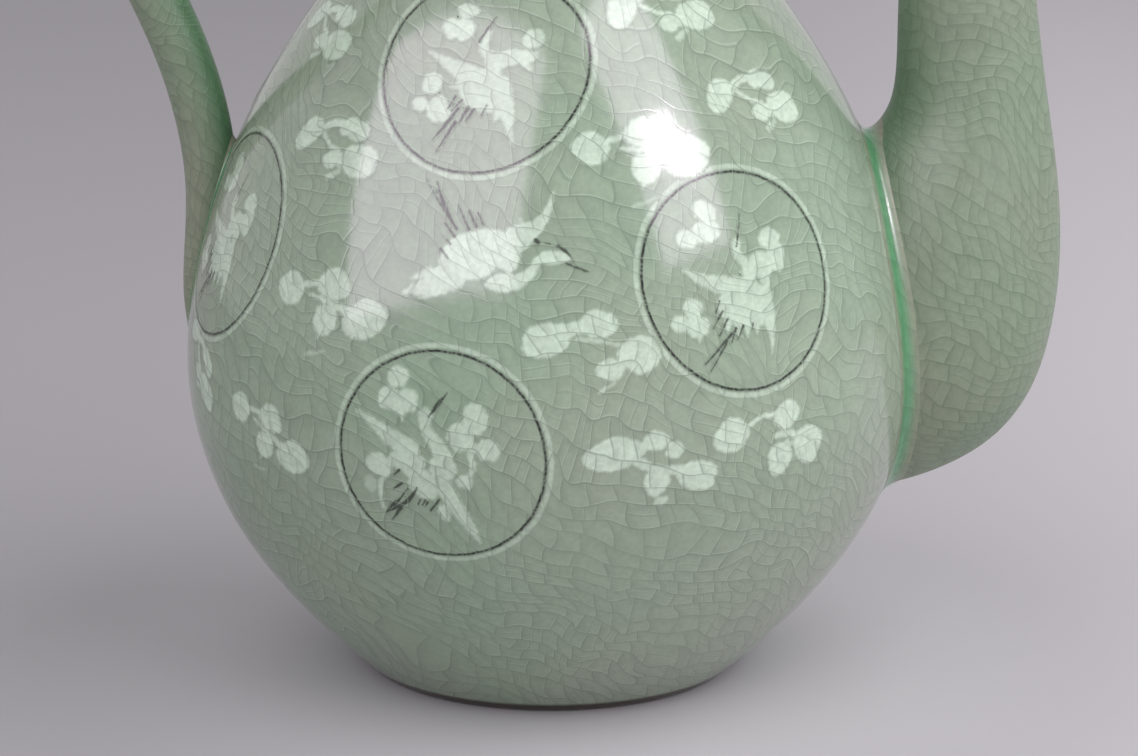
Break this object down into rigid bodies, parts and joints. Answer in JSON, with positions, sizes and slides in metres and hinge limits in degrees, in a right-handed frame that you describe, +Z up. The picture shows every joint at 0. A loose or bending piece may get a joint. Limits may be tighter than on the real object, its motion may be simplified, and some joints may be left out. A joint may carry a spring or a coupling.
{
  "type": "double gourd ewer",
  "caption": "Double gourd ewer in crackled celadon with inlaid cranes and clouds, a teardrop-based spout, a looped rod handle and a lift-off lid.",
  "frame": {"origin": "centre of the foot, on the surface that it stands on", "axes": "+Z up along the pot's axis, +X towards the spout, -X towards the handle"},
  "size_m": [0.2133, 0.15, 0.2877],
  "materials": {
    "celadon_glaze": "glossy crackled glaze",
    "pooled_celadon_glaze": "glossy, where the glaze gathers",
    "joining_slip": "matt"
  },
  "bodies": {
    "pot": {"lower_bulb": "celadon_glaze", "waist_slip": "joining_slip", "upper_bulb": "celadon_glaze", "spout": "celadon_glaze", "spout_luting": "pooled_celadon_glaze", "handle": "celadon_glaze", "handle_lower_luting": "pooled_celadon_glaze", "handle_upper_luting": "pooled_celadon_glaze", "handle_loop": "celadon_glaze"},
    "lid": {"lid": "celadon_glaze", "lid_knob": "celadon_glaze", "lid_loop": "celadon_glaze"}
  },
  "joints": [
    {"name": "lid_lift", "type": "slide", "parent": "pot", "child": "lid", "axis": [0, 0, 1], "range_m": [0, 0.06]}
  ]
}
